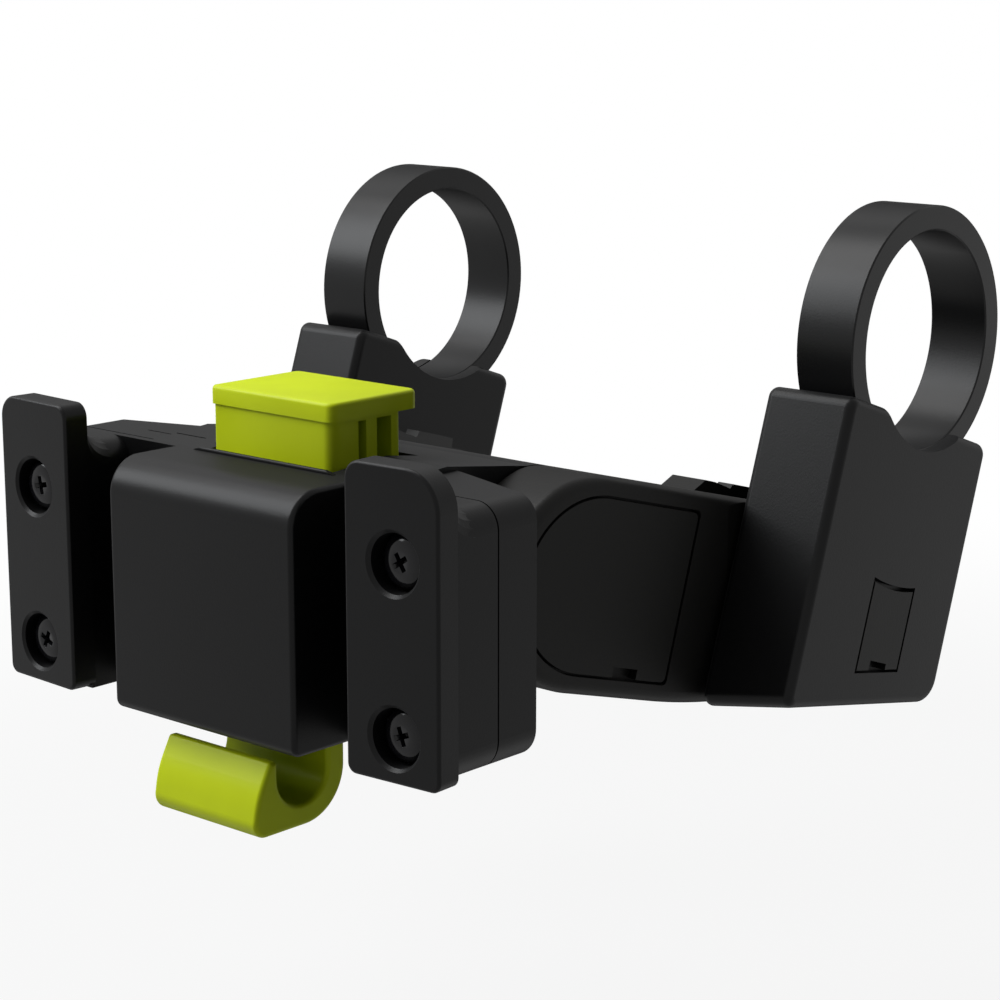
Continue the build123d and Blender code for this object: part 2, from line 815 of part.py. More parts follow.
pieces = {
    "front_shell": front_shell(),
    "rear_shell": rear_shell(),
    "push_button": push_button(),
    "release_hook": release_hook(),
    "return_spring": return_spring(),
    "tilt_bolt": tilt_bolt(),
    "tilt_nut": tilt_nut(),
}
for number, (x, z) in enumerate(screw_spots(), start=1):
    pieces[f"shell_screw_{number}"] = shell_screw(x, z)
pairs = {
    "clamp_block": clamp_block(),
    "clamp_ring": clamp_ring(),
    "strap_screw": strap_screw(),
    "block_cover": block_cover(),
    "pivot_bolt": pivot_bolt(),
    "pivot_nut": pivot_nut(),
    "arm": arm(),
    "arm_cover": arm_cover(),
}
for name, piece in pairs.items():
    pieces[f"right_{name}"] = piece
    pieces[f"left_{name}"] = mirrored(piece)

os.makedirs("parts", exist_ok=True)
for name, piece in pieces.items():
    export_step(piece, f"parts/{name}.step")
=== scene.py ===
# %% [markdown]
# # A handlebar bag mount, dressed for its portrait
# The solids of the mount come from the CAD model and stay as they are. This lesson gives them
# a camera, light, and finishes that look like satin black nylon, lime acetal and small screws.
# Loading them first means that every later piece can be measured from a real solid.

from math import cos, pi, radians, sin

import bmesh
import bpy
from mathutils import Matrix, Vector


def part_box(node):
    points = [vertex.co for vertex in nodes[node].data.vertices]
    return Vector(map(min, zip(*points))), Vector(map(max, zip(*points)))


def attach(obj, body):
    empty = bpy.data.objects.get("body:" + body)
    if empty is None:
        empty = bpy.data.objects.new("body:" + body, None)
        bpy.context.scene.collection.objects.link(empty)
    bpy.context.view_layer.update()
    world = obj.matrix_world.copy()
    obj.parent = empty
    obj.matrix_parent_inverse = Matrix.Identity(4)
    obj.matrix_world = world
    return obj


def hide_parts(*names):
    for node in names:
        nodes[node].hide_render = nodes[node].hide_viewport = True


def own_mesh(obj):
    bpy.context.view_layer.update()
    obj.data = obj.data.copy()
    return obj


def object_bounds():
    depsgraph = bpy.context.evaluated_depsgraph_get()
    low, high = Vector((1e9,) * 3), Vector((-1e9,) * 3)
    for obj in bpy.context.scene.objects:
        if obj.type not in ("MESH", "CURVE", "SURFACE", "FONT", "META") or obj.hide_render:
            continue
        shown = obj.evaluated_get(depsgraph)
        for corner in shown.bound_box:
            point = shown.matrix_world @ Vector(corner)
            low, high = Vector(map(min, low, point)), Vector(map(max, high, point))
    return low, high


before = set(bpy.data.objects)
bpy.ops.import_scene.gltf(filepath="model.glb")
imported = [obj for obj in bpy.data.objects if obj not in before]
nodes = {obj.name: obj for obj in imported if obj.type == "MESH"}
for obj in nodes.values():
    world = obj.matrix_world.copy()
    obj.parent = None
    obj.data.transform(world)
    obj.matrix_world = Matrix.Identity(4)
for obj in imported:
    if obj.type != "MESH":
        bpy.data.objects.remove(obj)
cad_low, cad_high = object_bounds()
print("solids:", len(nodes), "box:", [round(v, 4) for v in cad_low], [round(v, 4) for v in cad_high])

# %% [markdown]
# ## The camera
# The photograph was taken from the front right and a little above, with a long lens. A long lens
# keeps the far clamp almost as large as the near one. The turn of the camera is built from its
# three axes, because that is easier to reason about than three angles.

# %% Camera at the photograph's angle
camera_azimuth = radians(40.846)
camera_height = radians(12.839)
camera_roll = 0.00336
camera_spot = Vector((0.24708, -0.31385, 0.05513))

level_part = cos(camera_height)
forward = Vector(
    (-sin(camera_azimuth) * level_part, cos(camera_azimuth) * level_part, -sin(camera_height))
)
level_right = Vector((cos(camera_azimuth), sin(camera_azimuth), 0))
level_up = level_right.cross(forward)
right = level_right * cos(camera_roll) + level_up * sin(camera_roll)
up = level_up * cos(camera_roll) - level_right * sin(camera_roll)
camera_data = bpy.data.cameras.new("portrait_camera")
camera_data.sensor_width = 36.0
camera_data.lens = 91.85
camera_data.shift_x = -0.0273
camera_data.shift_y = 0.0290
camera_data.clip_start = 0.01
camera_data.clip_end = 20.0
camera = bpy.data.objects.new("portrait_camera", camera_data)
bpy.context.scene.collection.objects.link(camera)
turn = Matrix((right, up, -forward)).transposed().to_4x4()
camera.matrix_world = Matrix.Translation(camera_spot) @ turn
bpy.context.scene.camera = camera
print("camera looks along", [round(v, 3) for v in forward])

# %% [markdown]
# ## Floor
# The photograph has a plain white ground. A pale plane catches a soft shadow of the mount. The mount
# hangs from a handlebar and its body swings down by 37 mm at the end of both tilts, so the floor
# lies just below that reach.

# %% Floor plane
swing_room = 0.040
bpy.ops.object.select_all(action="DESELECT")
bpy.ops.mesh.primitive_plane_add(size=6.0, location=(0, 0, cad_low.z - swing_room))
floor = bpy.context.object
floor.name = "studio_floor"
print("floor at", round(floor.location.z, 4))

# %% [markdown]
# A backdrop that is lit like the object turns grey. So the floor and the sky are plain white for
# camera, glossy and see-through rays, and the black plastic mirrors the same white that the viewer
# sees. One helper makes that choice for both of them.

# %% Helpers for materials and for the white backdrop
def new_material(name):
    """An empty node material with its output, ready for a shader."""
    material = bpy.data.materials.new(name)
    material.use_nodes = True
    material.node_tree.nodes.clear()
    output = material.node_tree.nodes.new("ShaderNodeOutputMaterial")
    return material, material.node_tree, output


def seen_as_backdrop(tree):
    """A socket that is 1 for camera, glossy and see-through rays."""
    path = tree.nodes.new("ShaderNodeLightPath")
    seen = path.outputs["Is Camera Ray"]
    for kind in ("Is Glossy Ray", "Is Transmission Ray"):
        either = tree.nodes.new("ShaderNodeMath")
        either.operation = "MAXIMUM"
        tree.links.new(seen, either.inputs[0])
        tree.links.new(path.outputs[kind], either.inputs[1])
        seen = either.outputs[0]
    return seen


def map_range(tree, low, high, to_low, to_high):
    """A node that turns one range of values into another."""
    node = tree.nodes.new("ShaderNodeMapRange")
    node.inputs["From Min"].default_value = low
    node.inputs["From Max"].default_value = high
    node.inputs["To Min"].default_value = to_low
    node.inputs["To Max"].default_value = to_high
    return node


# %% [markdown]
# Near the mount the floor keeps a tenth of its own shade, so that the shadow shows. The share of
# white grows with the distance, so the far floor has no grey band.

# %% Floor material
floor_shade = 0.34
near_white = 0.90
near_reach = 0.12
far_reach = 0.34
floor_material, tree, output = new_material("pale_floor")
diffuse = tree.nodes.new("ShaderNodeBsdfDiffuse")
diffuse.inputs["Color"].default_value = (floor_shade, floor_shade, floor_shade, 1)
glow = tree.nodes.new("ShaderNodeEmission")
glow.inputs["Color"].default_value = (1, 1, 1, 1)
spot = tree.nodes.new("ShaderNodeTexCoord")
distance = tree.nodes.new("ShaderNodeVectorMath")
distance.operation = "LENGTH"
white_share = map_range(tree, near_reach, far_reach, near_white, 1.0)
white_share.interpolation_type = "SMOOTHSTEP"
share = tree.nodes.new("ShaderNodeMath")
share.operation = "MULTIPLY"
mix = tree.nodes.new("ShaderNodeMixShader")
tree.links.new(spot.outputs["Object"], distance.inputs[0])
tree.links.new(distance.outputs["Value"], white_share.inputs["Value"])
tree.links.new(seen_as_backdrop(tree), share.inputs[0])
tree.links.new(white_share.outputs["Result"], share.inputs[1])
tree.links.new(share.outputs[0], mix.inputs[0])
tree.links.new(diffuse.outputs[0], mix.inputs[1])
tree.links.new(glow.outputs[0], mix.inputs[2])
tree.links.new(mix.outputs[0], output.inputs[0])
floor.data.materials.append(floor_material)
print("floor material nodes:", len(tree.nodes))

# %% [markdown]
# ## Sky
# The sky gives a weak, even fill, because black plastic would otherwise lose its shape in the
# shade. For the rays of the backdrop it is white as well.

# %% World
fill_strength = 0.10
world = bpy.data.worlds.new("studio_world")
bpy.context.scene.world = world
world.use_nodes = True
tree = world.node_tree
tree.nodes.clear()
world_output = tree.nodes.new("ShaderNodeOutputWorld")
fill = tree.nodes.new("ShaderNodeBackground")
fill.inputs["Color"].default_value = (0.95, 0.97, 1.0, 1)
fill.inputs["Strength"].default_value = fill_strength
white = tree.nodes.new("ShaderNodeBackground")
white.inputs["Color"].default_value = (1, 1, 1, 1)
white.inputs["Strength"].default_value = 1.0
mix = tree.nodes.new("ShaderNodeMixShader")
tree.links.new(seen_as_backdrop(tree), mix.inputs[0])
tree.links.new(fill.outputs[0], mix.inputs[1])
tree.links.new(white.outputs[0], mix.inputs[2])
tree.links.new(mix.outputs[0], world_output.inputs[0])
print("world nodes:", len(tree.nodes))

# %% [markdown]
# ## Studio light
# Black plastic shows its shape through soft reflections. A lamp above the left draws the pale edge
# of the rounded tops, and one from the front left opens the boss and the rings. The right side gets
# almost nothing, because in the photograph it stays far darker than the front.

# %% Lamps
centre = (cad_low + cad_high) / 2


def soft_lamp(name, spot, size, power, tone=(1, 1, 1)):
    """A square area lamp that faces the middle of the mount."""
    data = bpy.data.lights.new(name, "AREA")
    data.color = tone
    data.shape = "SQUARE"
    data.size = size
    data.energy = power
    lamp = bpy.data.objects.new(name, data)
    bpy.context.scene.collection.objects.link(lamp)
    lamp.location = spot
    lamp.rotation_euler = (centre - Vector(spot)).to_track_quat("-Z", "Y").to_euler()
    return lamp


cool_white = (0.95, 0.975, 1.0)
soft_lamp("overhead_softbox", spot=(-0.30, -0.18, 0.62), size=0.42, power=3.1)
soft_lamp("front_left_softbox", spot=(-0.51, -0.44, 0.42), size=0.42, power=4.5, tone=cool_white)
soft_lamp("right_softbox", spot=(0.75, -0.20, 0.30), size=0.5, power=0.08)
bpy.context.scene.view_settings.view_transform = "Standard"

# %% [markdown]
# ## The moulded skin, as a shared effect
# A mould for satin plastic is spark-eroded, which leaves a fine, even grain. Handling then
# polishes some places more than others. Both happen on every plastic piece here, so they are one
# node group with named sockets, and each material gives it its own scale and strength.

# %% Group sockets
def group_socket(group, name, kind, direction, value=None):
    socket = group.interface.new_socket(name=name, in_out=direction, socket_type=kind)
    if value is not None:
        socket.default_value = value


skin = bpy.data.node_groups.new("moulded_skin", "ShaderNodeTree")
group_socket(skin, "Colour", "NodeSocketColor", "INPUT", (0.02, 0.02, 0.02, 1))
group_socket(skin, "Grain Scale", "NodeSocketFloat", "INPUT", 3500.0)
group_socket(skin, "Roughness", "NodeSocketFloat", "INPUT", 0.4)
group_socket(skin, "Variation", "NodeSocketFloat", "INPUT", 0.06)
group_socket(skin, "Colour", "NodeSocketColor", "OUTPUT")
group_socket(skin, "Roughness", "NodeSocketFloat", "OUTPUT")
group_socket(skin, "Height", "NodeSocketFloat", "OUTPUT")
enter = skin.nodes.new("NodeGroupInput")
leave = skin.nodes.new("NodeGroupOutput")
place = skin.nodes.new("ShaderNodeTexCoord")
print("group sockets:", [s.name for s in skin.interface.items_tree])

# %% [markdown]
# The grain is a fine noise that leaves the group as a height for a bump. It is far too fine to
# model, and the light catches it only as satin.

# %% Grain
grain = skin.nodes.new("ShaderNodeTexNoise")
grain.inputs["Detail"].default_value = 2.0
skin.links.new(place.outputs["Object"], grain.inputs["Vector"])
skin.links.new(enter.outputs["Grain Scale"], grain.inputs["Scale"])
skin.links.new(grain.outputs["Fac"], leave.inputs["Height"])
print("grain detail:", grain.inputs["Detail"].default_value)

# %% [markdown]
# Handling is a slow cloud, about two centimetres wide. It moves the roughness up and down by the
# variation, and the colour by a few hundredths, which keeps large faces from looking flat.

# %% Wear from handling
cloud_scale = 45.0
cloud = skin.nodes.new("ShaderNodeTexNoise")
cloud.inputs["Scale"].default_value = cloud_scale
cloud.inputs["Detail"].default_value = 4.0
spread = skin.nodes.new("ShaderNodeMath")
spread.operation = "SUBTRACT"
spread.inputs[1].default_value = 0.5
scaled = skin.nodes.new("ShaderNodeMath")
scaled.operation = "MULTIPLY_ADD"
shade = map_range(skin, 0.3, 0.7, 0.92, 1.08)
tint = skin.nodes.new("ShaderNodeVectorMath")
tint.operation = "SCALE"
skin.links.new(place.outputs["Object"], cloud.inputs["Vector"])
skin.links.new(cloud.outputs["Fac"], spread.inputs[0])
skin.links.new(spread.outputs[0], scaled.inputs[0])
skin.links.new(enter.outputs["Variation"], scaled.inputs[1])
skin.links.new(enter.outputs["Roughness"], scaled.inputs[2])
skin.links.new(cloud.outputs["Fac"], shade.inputs["Value"])
skin.links.new(enter.outputs["Colour"], tint.inputs[0])
skin.links.new(shade.outputs["Result"], tint.inputs["Scale"])
skin.links.new(tint.outputs[0], leave.inputs["Colour"])
skin.links.new(scaled.outputs[0], leave.inputs["Roughness"])
print("skin nodes:", len(skin.nodes))

# %% [markdown]
# ## Plastic finishes
# The shells, arms and covers are the same black nylon, yet in the photograph the covers look a
# touch duller and the rings a touch smoother. One helper builds them all from the shared skin,
# with a different roughness and grain for each. A grain also hides the mirror that smooth plastic
# shows at a shallow angle, so the roughness grows where the surface is seen edge-on.

# %% Helper for plastics
grain_depth = 0.00003
dull_from = 0.5
dull_to = 0.85


def plastic(name, colour, roughness, grain_scale, bump, gloss, variation=0.06, dull=0.37):
    material, tree, output = new_material(name)
    shader = tree.nodes.new("ShaderNodeBsdfPrincipled")
    shader.inputs["IOR"].default_value = 1.5
    shader.inputs["Specular IOR Level"].default_value = gloss
    effect = tree.nodes.new("ShaderNodeGroup")
    effect.node_tree = skin
    effect.inputs["Colour"].default_value = (*colour, 1)
    effect.inputs["Grain Scale"].default_value = grain_scale
    effect.inputs["Roughness"].default_value = roughness
    effect.inputs["Variation"].default_value = variation
    edge_on = tree.nodes.new("ShaderNodeLayerWeight")
    edge_on.inputs["Blend"].default_value = 0.5
    dulling = map_range(tree, dull_from, dull_to, 0.0, dull)
    total = tree.nodes.new("ShaderNodeMath")
    total.operation = "ADD"
    total.use_clamp = True
    relief = tree.nodes.new("ShaderNodeBump")
    relief.inputs["Strength"].default_value = bump
    relief.inputs["Distance"].default_value = grain_depth
    tree.links.new(effect.outputs["Colour"], shader.inputs["Base Color"])
    tree.links.new(effect.outputs["Roughness"], total.inputs[0])
    tree.links.new(edge_on.outputs["Facing"], dulling.inputs["Value"])
    tree.links.new(dulling.outputs["Result"], total.inputs[1])
    tree.links.new(total.outputs[0], shader.inputs["Roughness"])
    tree.links.new(effect.outputs["Height"], relief.inputs["Height"])
    tree.links.new(relief.outputs["Normal"], shader.inputs["Normal"])
    tree.links.new(shader.outputs[0], output.inputs[0])
    print("plastic:", name, "roughness", roughness, "gloss", gloss)
    return material


# %% [markdown]
# The numbers come from comparing patches of the render with the photograph. The blacks differ by
# less than the eye can name, but side by side they keep the pieces apart.

# %% Plastics
housing_black = plastic(
    "housing_black", (0.0050, 0.0050, 0.0052), roughness=0.34, grain_scale=3200, bump=0.35, gloss=0.12
)
arm_black = plastic(
    "arm_black", (0.0052, 0.0050, 0.0046), roughness=0.44, grain_scale=3200, bump=0.4, gloss=0.13
)
ring_black = plastic(
    "ring_black", (0.0048, 0.0048, 0.0050), roughness=0.32, grain_scale=3800, bump=0.3, gloss=0.17,
    dull=0.65,
)
cover_black = plastic(
    "cover_black", (0.0060, 0.0060, 0.0055), roughness=0.48, grain_scale=2800, bump=0.45, gloss=0.13
)
lime = plastic(
    "lime_acetal", (0.58, 0.69, 0.012), roughness=0.32, grain_scale=3000, bump=0.2, gloss=0.11,
    variation=0.04,
)

# %% [markdown]
# ## Metal finishes
# The shell screws are steel with a glossy black coat, so they are the only sharp reflections in
# the view. The bolts and nuts under the covers are zinc plated, with fine turned streaks.

# %% Metals
def metal(name, colour, roughness, streak_scale, metallic, gloss=0.5):
    material, tree, output = new_material(name)
    shader = tree.nodes.new("ShaderNodeBsdfPrincipled")
    shader.inputs["Metallic"].default_value = metallic
    shader.inputs["Specular IOR Level"].default_value = gloss
    place = tree.nodes.new("ShaderNodeTexCoord")
    streak = tree.nodes.new("ShaderNodeTexNoise")
    streak.inputs["Scale"].default_value = streak_scale
    streak.inputs["Detail"].default_value = 3.0
    rough = map_range(tree, 0.0, 1.0, roughness * 0.7, roughness * 1.4)
    tone = map_range(tree, 0.0, 1.0, 0.85, 1.1)
    tint = tree.nodes.new("ShaderNodeVectorMath")
    tint.operation = "SCALE"
    tint.inputs[0].default_value = colour
    tree.links.new(place.outputs["Object"], streak.inputs["Vector"])
    tree.links.new(streak.outputs["Fac"], rough.inputs["Value"])
    tree.links.new(streak.outputs["Fac"], tone.inputs["Value"])
    tree.links.new(tone.outputs["Result"], tint.inputs["Scale"])
    tree.links.new(tint.outputs[0], shader.inputs["Base Color"])
    tree.links.new(rough.outputs["Result"], shader.inputs["Roughness"])
    tree.links.new(shader.outputs[0], output.inputs[0])
    print("metal:", name, "roughness", roughness)
    return material


screw_black = metal(
    "screw_black", (0.005, 0.005, 0.006), roughness=0.11, streak_scale=900, metallic=0.0, gloss=0.2
)
zinc = metal("zinc_plate", (0.62, 0.62, 0.64), roughness=0.3, streak_scale=1400, metallic=1.0)
wire = metal("spring_wire", (0.5, 0.5, 0.52), roughness=0.25, streak_scale=2500, metallic=1.0)

# %% [markdown]
# ## Helpers for shapes
# Three jobs come back in the shapes below: faces are chosen by a test, a modifier is applied so
# that it becomes part of the mesh, and one solid is joined to another or cut out of it.

# %% Helpers for faces and modifiers
def select_faces(mesh, test):
    """Select the faces of the edited mesh that pass a test."""
    edit = bmesh.from_edit_mesh(mesh)
    for face in edit.faces:
        face.select_set(test(face))
    bmesh.update_edit_mesh(mesh)


def apply_new(piece, modifier):
    bpy.context.view_layer.objects.active = piece
    bpy.ops.object.modifier_apply(modifier=modifier.name)


def combine(piece, tool, operation):
    """Join a tool to a piece or cut it away, and drop the tool."""
    change = piece.modifiers.new("change", "BOOLEAN")
    change.operation = operation
    change.solver = "EXACT"
    change.object = tool
    apply_new(piece, change)
    bpy.data.objects.remove(tool)


# %% [markdown]
# ## Shell screws
# The solid of each shell screw is a plain stand-in. A real one has a shallow dome and a cross that
# narrows as it goes down, made by a punch. The dome starts as a cylinder whose top face is inset
# and raised in small steps, which gives an even ring of faces and a clean highlight.

# %% Screw head, built along Z
screw_low, screw_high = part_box("shell_screw_1")
head_r = (screw_high[0] - screw_low[0]) / 2
screw_length = screw_high[1] - screw_low[1]
dome_steps = [(0.00028, 0.00034), (0.00040, 0.00026), (0.00055, 0.00017), (0.00070, 0.00008)]
dome_h = sum(rise for inset, rise in dome_steps)
head_h = 0.0022
rim_h = head_h - dome_h
bpy.ops.object.select_all(action="DESELECT")
bpy.ops.mesh.primitive_cylinder_add(
    vertices=64, radius=head_r, depth=rim_h, location=(0, 0, rim_h / 2 - head_h)
)
screw = bpy.context.object
screw.name = "screw_blank"
bpy.ops.object.transform_apply(location=True, rotation=True, scale=True)
bpy.ops.object.mode_set(mode="EDIT")
bpy.ops.mesh.select_mode(type="FACE")
select_faces(screw.data, lambda face: face.normal.z > 0.9)
for inset, rise in dome_steps:
    bpy.ops.mesh.inset(thickness=inset, depth=rise)
bpy.ops.object.mode_set(mode="OBJECT")
print("head radius:", round(head_r, 5), "faces:", len(screw.data.polygons))

# %% [markdown]
# The shaft is a second cylinder, added in edit mode so that it belongs to the same mesh. It starts
# a little inside the head, because two faces in the same place would flicker.

# %% Shaft
shaft_r = 0.0015
sunk = 0.0004
shaft_h = screw_length - head_h
bpy.ops.object.mode_set(mode="EDIT")
bpy.ops.mesh.select_all(action="DESELECT")
bpy.ops.mesh.primitive_cylinder_add(
    vertices=32, radius=shaft_r, depth=shaft_h + sunk, location=(0, 0, sunk / 2 - head_h - shaft_h / 2)
)
bpy.ops.object.mode_set(mode="OBJECT")
print("shaft length:", round(shaft_h, 5), "faces:", len(screw.data.polygons))

# %% [markdown]
# The punch is two crossed bars whose lower ends are narrower. Cutting with a boolean leaves crisp
# edges, and a small bevel then rounds them, as paint does on a real screw.

# %% Cross recess
bar_size = (0.0036, 0.0010, 0.0032)
bar_taper = 0.45
cross_edge = 0.00006
for turn in (0, pi / 2):
    bpy.ops.object.select_all(action="DESELECT")
    bpy.ops.mesh.primitive_cube_add(size=1.0, location=(0, 0, 0))
    bar = bpy.context.object
    bar.scale = bar_size
    bar.rotation_euler = (0, 0, turn)
    bpy.ops.object.transform_apply(location=True, rotation=True, scale=True)
    bpy.ops.object.mode_set(mode="EDIT")
    select_faces(bar.data, lambda face: face.normal.z < -0.9)
    bpy.ops.transform.resize(value=(bar_taper, bar_taper, 1), center_override=(0, 0, 0))
    bpy.ops.object.mode_set(mode="OBJECT")
    combine(screw, bar, "DIFFERENCE")
soften = screw.modifiers.new("soften", "BEVEL")
soften.width = cross_edge
soften.segments = 2
soften.limit_method = "ANGLE"
soften.angle_limit = radians(40)
apply_new(screw, soften)
print("screw with cross:", len(screw.data.polygons), "faces")

# %% [markdown]
# The same screw goes into all four holes. Each is turned by hand until it is tight, so the crosses
# never line up, and the small differences are what tells the eye that they are real.

# %% Four screws in place
cross_turns = {1: 12, 2: -24, 3: 33, 4: 21}
for number, cross_turn in cross_turns.items():
    low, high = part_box(f"shell_screw_{number}")
    face_spot = Vector(((low[0] + high[0]) / 2, low[1], (low[2] + high[2]) / 2))
    bpy.ops.object.select_all(action="DESELECT")
    piece = bpy.data.objects.new(f"cross_screw_{number}", screw.data.copy())
    bpy.context.scene.collection.objects.link(piece)
    piece.select_set(True)
    bpy.context.view_layer.objects.active = piece
    stand = Matrix.Rotation(pi / 2, 4, "X") @ Matrix.Rotation(radians(cross_turn), 4, "Z")
    piece.matrix_world = Matrix.Translation(face_spot) @ stand
    bpy.ops.object.transform_apply(location=True, rotation=True, scale=True)
    bpy.ops.object.shade_smooth_by_angle(angle=radians(30))
    piece.data.materials.append(screw_black)
    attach(piece, "body")
    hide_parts(f"shell_screw_{number}")
bpy.data.objects.remove(screw)
print("screws:", len(cross_turns))

# %% [markdown]
# ## Push button
# The button is one moulded piece: a cap with soft corners on a hollow-sided stem. Its solid has
# plainer edges. Every block of it is made the same way: a cube is stretched to two corners, and
# then chosen edges are bevelled in edit mode. Small helpers pick the edges by where they lie.

# %% Helpers for blocks
smooth_angle = radians(32)


def select_edges(mesh, test):
    """Select the edges of the edited mesh whose two ends pass a test."""
    edit = bmesh.from_edit_mesh(mesh)
    for edge in edit.edges:
        edge.select_set(test(edge.verts[0].co, edge.verts[1].co))
    bmesh.update_edit_mesh(mesh)


def block(name, low, high):
    """A cube stretched to two corners, with its place in the mesh."""
    bpy.ops.object.select_all(action="DESELECT")
    bpy.ops.mesh.primitive_cube_add(size=1.0, location=(Vector(low) + Vector(high)) / 2)
    piece = bpy.context.object
    piece.name = name
    piece.scale = Vector(high) - Vector(low)
    bpy.ops.object.transform_apply(location=True, rotation=True, scale=True)
    return piece


def bevel_edges(piece, test, width, segments):
    """Bevel the edges of a piece that pass a test."""
    bpy.ops.object.mode_set(mode="EDIT")
    bpy.ops.mesh.select_mode(type="EDGE")
    select_edges(piece.data, test)
    bpy.ops.mesh.bevel(offset=width, segments=segments, affect="EDGES")
    bpy.ops.object.mode_set(mode="OBJECT")


def upright(a, b):
    """True for an edge that stands on end."""
    return abs(a.z - b.z) > 0.001


# %% [markdown]
# The cap's upright edges are bevelled first and its top rim second, in that order, because the rim
# then runs smoothly round the corners. The front left corner is sharper, as in the photograph.

# %% Cap of the button
button_low, button_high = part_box("push_button")
cap_h = 0.0026
cap_corner = 0.0014
cap_sharp_corner = 0.0007
cap_rim = 0.0006
tolerance = 0.00001
cap_top = button_high[2]
cap_foot = cap_top - cap_h


def front_left(a):
    return a.x < 0 and a.y < button_low[1] + tolerance


cap = block("button_cap", (button_low[0], button_low[1], cap_foot), tuple(button_high))
bevel_edges(cap, lambda a, b: upright(a, b) and not front_left(a), cap_corner, 5)
bevel_edges(cap, lambda a, b: upright(a, b) and front_left(a), cap_sharp_corner, 3)
bevel_edges(cap, lambda a, b: min(a.z, b.z) > cap_top - tolerance, cap_rim, 4)
print("cap foot at", round(cap_foot, 4), "faces:", len(cap.data.polygons))

# %% [markdown]
# The stem is narrower than the cap, and one of its front corners is well rounded. Its top reaches
# into the cap, so no crack shows between the two.

# %% Stem of the button
stem_half = 0.0115
stem_inset = 0.0003
stem_len = 0.0129
into_cap = 0.0004
stem_corner = 0.0018
stem_edge = 0.0005
stem_front = button_low[1] + stem_inset
stem_back = stem_front + stem_len
stem = block(
    "button_stem",
    (-stem_half, stem_front, button_low[2]),
    (stem_half, stem_back, cap_foot + into_cap),
)
middle_y = (stem_front + stem_back) / 2
bevel_edges(stem, lambda a, b: upright(a, b) and a.y < middle_y and a.x > 0, stem_corner, 5)
bevel_edges(stem, lambda a, b: upright(a, b) and (a.y > middle_y or a.x < 0), stem_edge, 3)
print("stem from", round(stem_front, 4), "to", round(stem_back, 4))

# %% [markdown]
# Two slots on each side leave thin ribs, which lets the thick stem cool evenly in its mould. They
# are cut by blocks with the boolean modifier, and a last block frees the way for the hook's shank.

# %% Slots and the way for the shank
slot_deep = 0.004
slots = ((0.0049, 0.0064), (0.0084, 0.0112))
under_cap = 0.0004
past = 0.001
slot_top = cap_foot - under_cap
slot_floor = button_low[2] - past
for side in (-1, 1):
    for start, end in slots:
        near = side * (stem_half - slot_deep)
        far = side * (stem_half + past)
        corner_low = (min(near, far), stem_front + start, slot_floor)
        corner_high = (max(near, far), stem_front + end, slot_top)
        combine(stem, block("slot_tool", corner_low, corner_high), "DIFFERENCE")
shank_reach = 0.0032
shank_play = 0.0002
shank_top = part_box("release_hook")[1][2] + shank_play
shank_low = (-stem_half - past, stem_front - past, slot_floor)
shank_high = (stem_half + past, button_low[1] + shank_reach, shank_top)
combine(stem, block("shank_tool", shank_low, shank_high), "DIFFERENCE")
print("stem faces:", len(stem.data.polygons))

# %% [markdown]
# Cap and stem are joined and stand for the solid of the button. They ride on the slider, so they
# go down with it.

# %% Button in place
bpy.ops.object.select_all(action="DESELECT")
stem.select_set(True)
cap.select_set(True)
bpy.context.view_layer.objects.active = cap
bpy.ops.object.join()
bpy.ops.object.shade_smooth_by_angle(angle=smooth_angle)
button = bpy.context.object
button.data.materials.clear()
button.data.materials.append(lime)
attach(button, "slider")
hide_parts("push_button")
print("button faces:", len(button.data.polygons))

# %% [markdown]
# ## Snap covers
# Each arm carries a snap cover shaped like a D, with a notch for a fingernail. Its rim is broken by
# a small bevel, and that bevel is what makes the line round the cover read as a dark groove. The
# D is a disc joined to a block, so that its round end is exact.

# %% Arm cover, flat on its back
rim_play = 0.00017
arm_cover_t = 0.0016
arm_cover_r = 0.01225 - rim_play
arm_cover_end = 0.0168 - rim_play
arm_cover_corner = 0.0008
arm_notch = (0.0066, 0.0111)
arm_notch_h = 0.00145
arm_cover_rim = 0.00022


def break_rim(piece, width):
    """Bevel every sharp edge of a cover."""
    edge = piece.modifiers.new("edge", "BEVEL")
    edge.width = width
    edge.segments = 3
    edge.limit_method = "ANGLE"
    edge.angle_limit = radians(50)
    apply_new(piece, edge)


bpy.ops.object.select_all(action="DESELECT")
bpy.ops.mesh.primitive_cylinder_add(
    vertices=128, radius=arm_cover_r, depth=arm_cover_t, location=(0, 0, -arm_cover_t / 2)
)
arm_cover = bpy.context.object
bpy.ops.object.transform_apply(location=True, rotation=True, scale=True)
tail = block("cover_tail", (0, -arm_cover_r, -arm_cover_t), (arm_cover_end, arm_cover_r, 0))
bevel_edges(tail, lambda a, b: upright(a, b) and a.x > arm_cover_end / 2, arm_cover_corner, 4)
combine(arm_cover, tail, "UNION")
notch_low = (arm_notch[0], -arm_cover_r - past, -arm_cover_t - past)
notch_high = (arm_notch[1], arm_notch_h - arm_cover_r, past)
combine(arm_cover, block("notch_tool", notch_low, notch_high), "DIFFERENCE")
break_rim(arm_cover, arm_cover_rim)
print("arm cover faces:", len(arm_cover.data.polygons))

# %% [markdown]
# The clamp blocks have a smaller cover of the same kind. Its foot follows the sloping underside of
# the block, so a plain block gets its rear foot raised in edit mode.

